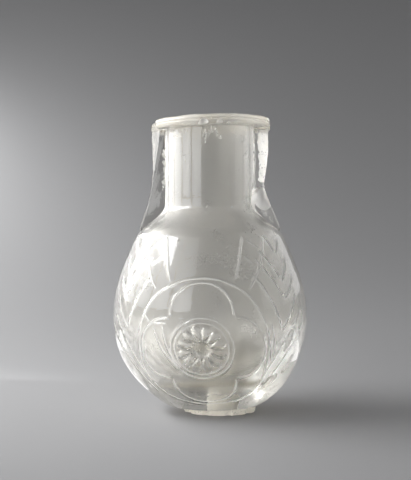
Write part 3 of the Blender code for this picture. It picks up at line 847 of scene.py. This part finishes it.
class Grooves:
    """Wheel-cut lines of one width and depth."""

    def __init__(self, width, depth):
        self.width = width
        self.depth = depth
        self.share = 1.0
        self.points = []
        self.strengths = []

    def add(self, place, length, closed=False):
        """Adds a line. place(shares) gives its points, and open ends run out shallow."""
        count = max(round(length / SAMPLE_STEP), LEAST_SAMPLES)
        shares = np.linspace(0.0, 1.0, count)
        distance = np.minimum(shares, 1 - shares) * length
        fade = np.ones(count) if closed else eased(distance / RUN_OUT)
        self.points.append(place(shares))
        self.strengths.append(fade * self.share)

    def gather(self):
        """Readies the lines for looking up how near a point is, swayed a little as a hand does."""
        true = np.concatenate(self.points)
        sway = [unevenness(true, SWAY_SIZE, seed) for seed in SWAY_SEEDS]
        self.all_points = true + HAND_SWAY * np.column_stack(sway)
        self.all_strengths = np.concatenate(self.strengths)
        self.tree = kdtree.KDTree(len(self.all_points))
        for number, point in enumerate(self.all_points):
            self.tree.insert(point, number)
        self.tree.balance()

    def near(self, points):
        """(distances to the nearest line, how deep that line is there, where its middle is)."""
        found = [self.tree.find(point) for point in points]
        distances = np.array([distance for _, _, distance in found])
        numbers = np.array([number for _, number, _ in found])
        return distances, self.all_strengths[numbers], self.all_points[numbers]

    def cut(self, points):
        """How much of its depth the wheel went at points of the surface: a V with a soft bottom and brows."""
        distances, strengths, _ = self.near(points)
        half = self.width / 2
        soft = np.sqrt(distances**2 + SOFTNESS**2) - SOFTNESS
        share = 1 - soft / (half - SOFTNESS / 2)
        brow = SOFTNESS / half
        raised = np.where(share > brow, share, (share + brow) ** 2 / (4 * brow))
        return strengths * np.where(share > -brow, raised, 0.0)

    def matte_reach(self, strengths):
        """How far a line's matte floor reaches from its middle."""
        soft = (1 - MATTE_ABOVE / np.maximum(strengths, MATTE_ABOVE)) * (self.width - SOFTNESS) / 2
        return np.sqrt((soft + SOFTNESS) ** 2 - SOFTNESS**2)

    def is_matte(self, points):
        distances, strengths, _ = self.near(points)
        return distances < self.matte_reach(strengths)

    def to_border(self, points):
        """Moves that bring points to the border of a line's matte floor."""
        distances, strengths, middles = self.near(points)
        moves = self.matte_reach(strengths) - distances
        return (points - middles) * (moves / np.maximum(distances, MERGE))[:, None]


def circle(grooves, radius, facing, centre=(0.0, 0.0), turn=(0.0, 360.0)):
    """A carved circle, or part of one, on a face about a centre."""
    start, end = np.radians(turn)

    def place(shares):
        angle = start + (end - start) * shares
        return SKIN.on_face(facing, centre[0] + radius * np.cos(angle), centre[1] + radius * np.sin(angle))

    grooves.add(place, radius * (end - start), closed=turn[1] - turn[0] >= 360.0)


def between(grooves, start, end, bow=0.0):
    """A carved line between two (degrees, share of the flank's height) places, bowed up by a share of it."""

    def place(shares):
        degrees = start[0] + (end[0] - start[0]) * shares
        up = start[1] + (end[1] - start[1]) * shares
        up += bow * abs(end[1] - start[1]) * 4 * shares * (1 - shares)
        return SKIN.on_flank(np.radians(degrees), up)

    first, last = place(np.array([0.0, 1.0]))
    grooves.add(place, np.linalg.norm(last - first))


def curved(grooves, place_on, start, bend, end):
    """A carved line from a start to an end of a map, drawn towards a bend between them."""

    def place(shares):
        start_share, bend_share, end_share = (1 - shares) ** 2, 2 * shares * (1 - shares), shares**2
        first, second = (
            start_share * start[axis] + bend_share * bend[axis] + end_share * end[axis] for axis in (0, 1)
        )
        return place_on(first, second)

    points = place(np.linspace(0.0, 1.0, LENGTH_SAMPLES))
    grooves.add(place, np.linalg.norm(np.diff(points, axis=0), axis=1).sum())


def face_lines(lines, fine, facing, plain):
    """The great circle, its four lobes and the ring or rings round the medallion, on one face."""
    circle(lines, CIRCLE_RADIUS, facing)
    # Each lobe ends where it meets its neighbours, at 45 degrees from its own direction
    half_turn = 135.0 - math.degrees(math.acos(LOBE_REACH / math.sqrt(2) / LOBE_RADIUS))
    for out in (0.0, 90.0, 180.0, 270.0):
        centre = (LOBE_REACH * math.cos(math.radians(out)), LOBE_REACH * math.sin(math.radians(out)))
        circle(lines, LOBE_RADIUS, facing, centre, (out - half_turn, out + half_turn))
    circle(fine, RING_RADIUS, facing)
    if plain:
        return
    circle(fine, RING_RADIUS + RING_GAP, facing)
    for touch in FRONT_TOUCHES:
        curved(fine, lambda across, up: SKIN.on_face(facing, across, up), *touch)


def side_lines(lines, fine, facing, plain):
    """The chevron fields and the straps beside a great circle, left and right alike."""
    for mirror in (-1, 1):

        def line(grooves, start, end, bow=0.0):
            places = [(math.degrees(facing) + mirror * degrees, up) for degrees, up in (start, end)]
            between(grooves, *places, bow=bow)

        for inner, tip, outer in CHEVRONS:
            line(lines, inner, tip, CHEVRON_BOW)
            line(lines, outer, tip, -CHEVRON_BOW)
        line(lines, *STRAP, bow=STRAP_BOW)
        for border in SIDE_BORDERS[: 1 if plain else 2]:
            curved(lines, lambda out, share: SKIN.on_flank(facing + mirror * np.radians(out), share), *border)
        if plain:
            continue
        line(lines, *STRAP_EDGE)
        for low, high in BARS:
            line(fine, low, high)


def highlight_lines(worn, facing):
    """Where the medallion's ridges and the lower left side of its hub get the frosted finish as painted
    highlights, which cuts nothing away.
    """

    def place(shares):
        out = PETAL_INNER + (PETAL_OUTER - PETAL_INNER) * shares
        return SKIN.on_face(facing, out * math.cos(turn), out * math.sin(turn))

    for turn in np.radians(HIGHLIT_RIDGES):
        worn.add(place, PETAL_OUTER - PETAL_INNER)
    circle(worn, HUB_RADIUS * HUB_HIGHLIGHT_SHARE, facing, turn=HUB_HIGHLIGHT)


def all_lines():
    """Every carved line, as one set of broad and one of fine grooves, and the medallion's lines of painted
    highlight.
    """
    lines = Grooves(LINE_WIDTH, LINE_DEPTH)
    fine = Grooves(FINE_WIDTH, FINE_DEPTH)
    # These lines cut nothing: they only give the medallion's painted highlights the frosted finish
    worn = Grooves(RIDGE_WIDTH, 0.0)
    highlight_lines(worn, PANEL_TURN)
    for facing, plain, share in ((PANEL_TURN, False, 1.0), (BACK_TURN, True, BACK_SHARE)):
        lines.share = fine.share = share
        face_lines(lines, fine, facing, plain)
        side_lines(lines, fine, facing, plain)
    for grooves in (lines, fine, worn):
        grooves.gather()
    return lines, fine, worn


def rosette(angle, along, facing):
    """(how deep a medallion's petals are, distance from its middle) at places of the map."""
    across = (np.mod(angle - facing + math.pi, math.tau) - math.pi) * SKIN.ring(along)
    up = along - SKIN.middle
    out = np.hypot(across, up)
    turn = np.arctan2(up, across) * PETALS / math.tau
    aside = (turn - np.floor(turn) - 0.5) * math.tau / PETALS * out
    middle = (PETAL_INNER + PETAL_OUTER) / 2
    lengthwise = (out - middle) / ((PETAL_OUTER - PETAL_INNER) / 2)
    crosswise = aside / (PETAL_WIDTH / 2 * out / middle)
    hollow = np.clip(1 - lengthwise**2 - crosswise**2, 0.0, 1.0)
    return PETAL_DEPTH * np.sqrt(hollow), out


def hub(out, radius):
    """The rise of a low round boss at distances from its middle."""
    return HUB_RISE * np.sqrt(np.clip(1 - (out / radius) ** 2, 0.0, 1.0))


def true_places(points):
    """(points before the lean, angle, along, whether on the carved outside)."""
    straightened = points.copy()
    straightened[:, 0] -= lean(points[:, 2])
    x, y, z = straightened.T
    along = SKIN.along(z)
    radius = SKIN.ring(along)
    steep = np.abs(np.interp(along, SKIN.length, SKIN.out_radius))
    off = np.abs(np.hypot(x, y) - radius) * steep
    outside = (off < SKIN_GAP) & (z > BOWL_CUT_HEIGHT + MERGE) & (z < NECK_FOOT)
    return straightened, np.arctan2(x, -y), along, outside


def smooth_border(thing, matte, sets):
    """Moves the points between matte and polished faces onto the true border of a matte floor."""
    mesh = thing.data
    sides = np.zeros((2, len(mesh.vertices)), bool)
    for face, flag in zip(mesh.polygons, matte):
        sides[int(flag), list(face.vertices)] = True
    border = np.flatnonzero(sides.all(axis=0))
    points = coordinates(thing)
    straightened = true_places(points[border])[0]
    moves = np.array([grooves.to_border(straightened) for grooves in sets])
    lengths = np.linalg.norm(moves, axis=2)
    shortest = moves[lengths.argmin(axis=0), np.arange(len(border))]
    close = lengths.min(axis=0) < BORDER_SHIFT
    points[border[close]] += shortest[close]
    set_coordinates(thing, points)


def refine(thing, sets):
    """Makes the mesh finer along the carved lines."""
    for front_reach, back_reach in zip(FRONT_REACHES, BACK_REACHES):
        straightened, angle, along, outside = true_places(face_centres(thing))
        chosen = np.flatnonzero(outside)
        distance = np.min([grooves.near(straightened[chosen])[0] for grooves in sets], axis=0)
        _, out = rosette(angle[chosen], along[chosen], PANEL_TURN)
        _, out_back = rosette(angle[chosen], along[chosen], BACK_TURN)
        front = np.cos(angle[chosen] - PANEL_TURN) > 0
        close = distance < np.where(front, front_reach, back_reach)
        close |= (out < RING_RADIUS + front_reach) | (out_back < BUTTON_RADIUS + back_reach)
        flags = np.zeros(len(thing.data.polygons), bool)
        flags[chosen[close]] = True
        select_faces(thing, flags)
        bpy.ops.mesh.subdivide(number_cuts=1)
        leave_edit()


def frost_floors(thing, sets):
    """Makes the floors of the carved lines matte, and the medallion's lines of painted highlight too."""
    straightened, _, _, outside = true_places(face_centres(thing))
    kinds = np.zeros(len(thing.data.polygons), np.int32)
    thing.data.polygons.foreach_get("material_index", kinds)
    chosen = np.flatnonzero(outside & (kinds == POLISHED))
    matte = np.zeros(len(kinds), bool)
    matte[chosen] = np.any([grooves.is_matte(straightened[chosen]) for grooves in sets], axis=0)
    smooth_border(thing, matte, sets)
    kinds[matte] = FROSTED
    thing.data.polygons.foreach_set("material_index", kinds)


def carve(thing, sets):
    """Cuts the lines and the medallions into the mesh, and keeps how deep each point is cut."""
    points = coordinates(thing)
    _, angle, along, outside = true_places(points)
    angle, along = angle[outside], along[outside]
    surface = SKIN.points(angle, along)
    cuts = [grooves.cut(surface) for grooves in sets]
    petals, out = rosette(angle, along, PANEL_TURN)
    _, out_back = rosette(angle, along, BACK_TURN)
    depth = np.max([grooves.depth * share for grooves, share in zip(sets, cuts)] + [petals], axis=0)
    wave = WAVE_DEPTH * worn_away(surface, WAVE_SIZE, WAVE_SEED)
    depth += wave - hub(out, HUB_RADIUS) - hub(out_back, BUTTON_RADIUS)
    carved = surface - SKIN.outward(angle, along) * depth[:, None]
    carved[:, 0] += lean(surface[:, 2])
    points[outside] = carved
    set_coordinates(thing, points)
    cut_share = np.zeros(len(points))
    cut_share[outside] = np.clip(np.max(cuts, axis=0), 0.0, 1.0)
    share = thing.data.attributes.new("cut", "FLOAT", "POINT")
    share.data.foreach_set("value", cut_share)


# Materials


def add(tree, kind, **settings):
    """A new node with its settings."""
    made = tree.nodes.new(kind)
    for setting, value in settings.items():
        setattr(made, setting, value)
    return made


def feed(tree, node, sources):
    """Sets a node's inputs, each from another node's output or to a value."""
    for name, source in sources.items():
        if isinstance(source, bpy.types.NodeSocket):
            tree.links.new(source, node.inputs[name])
        else:
            node.inputs[name].default_value = source
    return node


def mask(tree, source, low, high):
    """A value turned into a mask that rises from low to high."""
    ramp = add(tree, "ShaderNodeMapRange")
    return feed(tree, ramp, {"Value": source, "From Min": low, "From Max": high}).outputs[0]


def total(tree, base, shares, masks):
    """A base value plus shares of masks."""
    value = base
    for name, share in shares.items():
        node = add(tree, "ShaderNodeMath", operation="MULTIPLY_ADD")
        tree.links.new(masks[name], node.inputs[0])
        node.inputs[1].default_value = share
        if isinstance(value, bpy.types.NodeSocket):
            tree.links.new(value, node.inputs[2])
        else:
            node.inputs[2].default_value = value
        value = node.outputs[0]
    return value


def worn_surface():
    """Masks of an old hand-worked surface: clouds, level scratches, pits, grain, and how low a place is."""
    tree = bpy.data.node_groups.new("worn_surface", "ShaderNodeTree")
    tree.interface.new_socket("Place", in_out="INPUT", socket_type="NodeSocketVector")
    for name in SCALES:
        tree.interface.new_socket(name, in_out="INPUT", socket_type="NodeSocketFloat")
    for name in MASKS:
        tree.interface.new_socket(name, in_out="OUTPUT", socket_type="NodeSocketFloat")
    given = add(tree, "NodeGroupInput").outputs
    result = add(tree, "NodeGroupOutput")
    place = given["Place"]

    def speckle(vector, scale, detail, roughness):
        texture = add(tree, "ShaderNodeTexNoise")
        sources = {"Vector": vector, "Scale": given[scale], "Detail": detail, "Roughness": roughness}
        return feed(tree, texture, sources).outputs[0]

    level = feed(tree, add(tree, "ShaderNodeMapping"), {"Vector": place, "Scale": SCRATCH_STRETCH})
    pits = feed(tree, add(tree, "ShaderNodeTexVoronoi"), {"Vector": place, "Scale": given["Pit Scale"]})
    sources = (
        speckle(place, "Cloud Scale", detail=3.0, roughness=0.55),
        speckle(level.outputs[0], "Scratch Scale", detail=2.0, roughness=0.6),
        pits.outputs["Distance"],
        speckle(place, "Grain Scale", detail=2.0, roughness=0.7),
        feed(tree, add(tree, "ShaderNodeSeparateXYZ"), {"Vector": place}).outputs["Z"],
    )
    for (name, reach), source in zip(MASKS.items(), sources):
        feed(tree, result, {name: mask(tree, source, *reach)})
    return tree


def crystal(name, clear, tinted, transmission, depth, scales, tint, roughness, relief):
    """Quartz with its own wear. tint, roughness and relief are (base, shares of the masks)."""
    material = bpy.data.materials.new(name)
    material.use_nodes = True
    tree = material.node_tree
    shader = tree.nodes["Principled BSDF"]
    feed(tree, shader, {"Metallic": 0.0, "IOR": QUARTZ_IOR, "Transmission Weight": transmission})
    place = add(tree, "ShaderNodeTexCoord").outputs["Object"]
    wear = add(tree, "ShaderNodeGroup", node_tree=WORN_SURFACE)
    feed(tree, wear, {"Place": place, **dict(zip(SCALES, scales))})
    masks = {part: wear.outputs[part] for part in MASKS}
    masks["Cut"] = add(tree, "ShaderNodeAttribute", attribute_name="cut").outputs["Fac"]
    tint, roughness, relief = (total(tree, *each, masks) for each in (tint, roughness, relief))
    colour = add(tree, "ShaderNodeMix", data_type="RGBA")
    # A mix of colours has its factor as input 0 and its two colours as inputs 6 and 7
    feed(tree, colour, {0: tint, 6: clear, 7: tinted})
    bump = feed(tree, add(tree, "ShaderNodeBump"), {"Distance": depth, "Height": relief})
    feed(tree, shader, {"Base Color": colour.outputs[2], "Roughness": roughness, "Normal": bump.outputs[0]})
    return material


QUARTZ_IOR = 1.544
SCALES = ("Cloud Scale", "Scratch Scale", "Pit Scale", "Grain Scale")
SCRATCH_STRETCH = (1.0, 1.0, 14.0)

# Where each mask starts and where it is full
MASKS = {
    "Clouds": (0.36, 0.64),
    "Scratches": (0.60, 0.72),
    "Pits": (0.14, 0.05),
    "Grain": (0.30, 0.70),
    "Low": (0.0200, 0.0040),
}
CLEAR = (0.985, 0.975, 0.945, 1.0)
MILKY = (0.965, 0.955, 0.925, 1.0)
WARM = (0.94, 0.91, 0.82, 1.0)
STAINED = (0.88, 0.82, 0.68, 1.0)

WORN_SURFACE = worn_surface()
FINISHES = (
    crystal(
        "polished_crystal", CLEAR, WARM, transmission=1.0, depth=0.00005,
        scales=(150.0, 210.0, 700.0, 3000.0),
        tint=(0.10, {"Clouds": 0.10, "Pits": 0.20, "Low": 0.60}),
        roughness=(0.012, {"Clouds": 0.03, "Pits": 0.20, "Cut": 0.12}),
        relief=(0.0, {"Clouds": 0.5, "Pits": -0.4}),
    ),
    crystal(
        "ground_crystal", MILKY, WARM, transmission=0.93, depth=0.00003,
        scales=(110.0, 160.0, 900.0, 2400.0),
        tint=(0.0, {"Clouds": 0.25, "Pits": 0.1, "Low": 0.9}),
        roughness=(0.25, {"Clouds": 0.06, "Pits": 0.1, "Grain": 0.05}),
        relief=(0.0, {"Clouds": 0.4, "Pits": -0.2, "Grain": 0.45}),
    ),
    crystal(
        "broken_crystal", MILKY, STAINED, transmission=0.36, depth=0.00022,
        scales=(420.0, 300.0, 900.0, 2400.0),
        tint=(0.0, {"Clouds": 0.2, "Pits": 0.2, "Grain": 0.1, "Low": 0.5}),
        roughness=(0.18, {"Clouds": 0.15, "Pits": 0.2, "Grain": 0.2}),
        relief=(0.0, {"Clouds": 0.6, "Pits": -0.4, "Grain": 0.5}),
    ),
    crystal(
        "drilled_crystal", MILKY, WARM, transmission=0.06, depth=0.00012,
        scales=(380.0, 160.0, 900.0, 2600.0),
        tint=(0.0, {"Clouds": 0.3, "Pits": 0.1, "Grain": 0.1, "Low": 0.2}),
        roughness=(0.35, {"Clouds": 0.1, "Scratches": 0.1, "Pits": 0.1, "Grain": 0.1}),
        relief=(0.0, {"Clouds": 0.4, "Scratches": 0.5, "Pits": -0.3, "Grain": 0.5}),
    ),
    crystal(
        "worn_crystal", CLEAR, STAINED, transmission=0.58, depth=0.00012,
        scales=(260.0, 260.0, 800.0, 2600.0),
        tint=(0.42, {"Clouds": 0.35, "Scratches": 0.1, "Pits": 0.2}),
        roughness=(0.05, {"Clouds": 0.10, "Scratches": 0.15, "Pits": 0.20, "Grain": 0.05}),
        relief=(0.0, {"Clouds": 0.5, "Scratches": -0.3, "Pits": -0.4, "Grain": 0.1}),
    ),
    crystal(
        "frosted_cut", MILKY, WARM, transmission=0.60, depth=0.00003,
        scales=(300.0, 300.0, 900.0, 2600.0),
        tint=(0.0, {"Clouds": 0.1, "Pits": 0.1, "Grain": 0.1, "Low": 0.3}),
        roughness=(0.30, {"Clouds": 0.1, "Pits": 0.1, "Grain": 0.1}),
        relief=(0.0, {"Clouds": 0.4, "Pits": -0.2, "Grain": 0.5}),
    ),
)


# The studio


SWEEP_START = 0.12
SWEEP_RADIUS = 0.95
SWEEP_HEIGHT = 1.4
SWEEP_ARC_POINTS = 40
SWEEP_STEPS = 96
FLOOR_GAP = 0.0002
FLOOR_GREY = (0.32, 0.32, 0.325, 1.0)
FLOOR_ROUGHNESS = 0.9
FLOOR_SHINE = 0.1
ROOM_GREY = (0.047, 0.047, 0.049, 1.0)

# Panels stand in arcs round the flask and are aimed over its middle. Cards on the floor shine up, and low
# strips light the foot. Azimuths are degrees round from the camera, and grow towards the picture's right.
# Each row is (start, end, how many, distance, size, strength).
PANEL_SIZE = (0.19, 0.56)
PANEL_HEIGHT = PANEL_SIZE[1] / 2
PANEL_AIM = CAD_BOX[1][2] / 2 + PANEL_SIZE[1] / 4
PANEL_GRID = 90.0
PANELS = {
    "left_panel": (-128, -47, 3, 0.42, PANEL_SIZE, 0.95),
    "front_panel": (-47, -20, 1, 0.42, PANEL_SIZE, 0.84),
    "right_panel": (62, 146, 3, 0.42, PANEL_SIZE, 0.25),
}
CARD_HEIGHT = 0.0018
NO_GRID = 180.0
CARDS = {
    "left_card": (-150, -30, 3, 0.16, (0.20, 0.20), 0.78),
    "right_card": (55, 125, 1, 0.105, (0.11, 0.11), 1.6),
    "foot_card": (-180, 0, 2, 0.042, (0.042, 0.042), 0.30),
}
STRIP_SIZE = (0.10, 0.03)
STRIP_GRID = 12.0
STRIPS = {"foot_strip": (-85, 55, 4, 0.20, STRIP_SIZE, 0.22)}

# Lights for the sweep behind the flask, a long strip beside the left edge of the view and a panel over it,
# and a narrow lamp for the break at the right of the neck. Each is (middle, the way it shines, size,
# strength, grid).
SINGLE_LIGHTS = {
    "sweep_strip": ((-0.26, 0.35, 0.20), (0.98, 0.20, -1.0), (0.95, 0.06), 12.0, NO_GRID),
    "sweep_panel": ((-0.50, 0.35, 0.40), (0.45, 0.50, -0.25), (0.30, 0.30), 3.0, 120.0),
    "neck_lamp": ((0.26, -0.15, 0.26), (-0.243, 0.150, -0.178), (0.03, 0.03), 1.3, 9.0),
}

# The camera is level and a little left of the axis, with the image's middle a little over mid-height
CAMERA_PLACE = (-0.0014, -0.3110, 0.0528)
CAMERA_LENS = 75.0
CAMERA_SENSOR = 36.0


def studio():
    """A pale floor, flat under the flask, that sweeps up all round into a wall."""
    bend = SWEEP_RADIUS - SWEEP_START
    rise = arc((SWEEP_START, bend), bend, -90, 0, SWEEP_ARC_POINTS)
    outline = [(0.0, 0.0), (SWEEP_START / 2, 0.0)] + rise + [(SWEEP_RADIUS, SWEEP_HEIGHT)]
    thing = drawn_line("studio_floor", [(radius, 0.0, height - FLOOR_GAP) for radius, height in outline])
    spin_round(SWEEP_STEPS, inside=True)
    bpy.ops.object.shade_smooth()
    material = bpy.data.materials.new("pale_floor")
    material.use_nodes = True
    shader = material.node_tree.nodes["Principled BSDF"]
    feed(material.node_tree, shader, {
        "Base Color": FLOOR_GREY, "Roughness": FLOOR_ROUGHNESS, "Specular IOR Level": FLOOR_SHINE,
    })
    thing.data.materials.append(material)


def light_panel(name, place, towards, size, strength, grid):
    """A soft panel that faces a way. A grid narrows the cone of its light."""
    light = bpy.data.lights.new(name, "AREA")
    light.shape = "RECTANGLE"
    light.size, light.size_y = size
    light.energy = strength * math.pi * size[0] * size[1]
    light.spread = math.radians(grid)
    thing = bpy.data.objects.new(name, light)
    bpy.context.scene.collection.objects.link(thing)
    thing.location = place
    thing.rotation_euler = Vector(towards).to_track_quat("-Z", "Y").to_euler()
    thing.visible_camera = False


def light_rows(rows, height, aim, grid):
    """Lights in arcs round the flask, aimed at a height on its axis, or straight up where aim is None."""
    for name, (start, end, count, distance, size, strength) in rows.items():
        for number in range(count):
            out = outwards(start + (end - start) * (number + 0.5) / count)
            place = out * distance + Vector((0.0, 0.0, height))
            towards = (0.0, 0.0, 1.0) if aim is None else Vector((0.0, 0.0, aim)) - place
            light_panel(f"{name}_{number + 1}", place, towards, size, strength, grid)


def lights():
    """Bright soft light from the left, a little from the right, and a sweep that darkens to the right."""
    light_rows(PANELS, PANEL_HEIGHT, PANEL_AIM, PANEL_GRID)
    light_rows(CARDS, CARD_HEIGHT, None, NO_GRID)
    light_rows(STRIPS, STRIP_SIZE[1] / 2, 0.0, STRIP_GRID)
    for name, values in SINGLE_LIGHTS.items():
        light_panel(name, *values)
    world = bpy.data.worlds.new("grey_room")
    world.use_nodes = True
    world.node_tree.nodes["Background"].inputs["Color"].default_value = ROOM_GREY
    bpy.context.scene.world = world


def camera():
    """The photograph's own view."""
    data = bpy.data.cameras.new("camera")
    data.lens = CAMERA_LENS
    data.sensor_width = CAMERA_SENSOR
    thing = bpy.data.objects.new("camera", data)
    thing.location = CAMERA_PLACE
    thing.rotation_euler = (math.radians(90), 0.0, 0.0)
    bpy.context.scene.collection.objects.link(thing)
    bpy.context.scene.camera = thing


def look():
    """Plain colours, and enough bounces for light to cross a hollow crystal."""
    scene = bpy.context.scene
    scene.view_settings.view_transform = "Standard"
    scene.cycles.max_bounces = 24
    scene.cycles.transmission_bounces = 24
    scene.cycles.glossy_bounces = 12
    scene.cycles.transparent_max_bounces = 16


# The flask


flask = turned_vessel()
stumps = [handle_stump("left", -1, LEFT_STUMP_EDGE), handle_stump("right", 1, RIGHT_STUMP_EDGE)]
boolean(flask, stumps, "UNION")
boolean(flask, chip_tools() + [drill_tool()], "DIFFERENCE")
carved_sets = all_lines()
refine(flask, carved_sets)
frost_floors(flask, carved_sets)
carve(flask, carved_sets)
only(flask)
bpy.ops.object.shade_smooth_by_angle(angle=SMOOTH_ANGLE)
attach(flask, "root")
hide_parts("flask")

studio()
lights()
camera()
look()

print("triangles", sum(len(face.vertices) - 2 for face in flask.data.polygons))
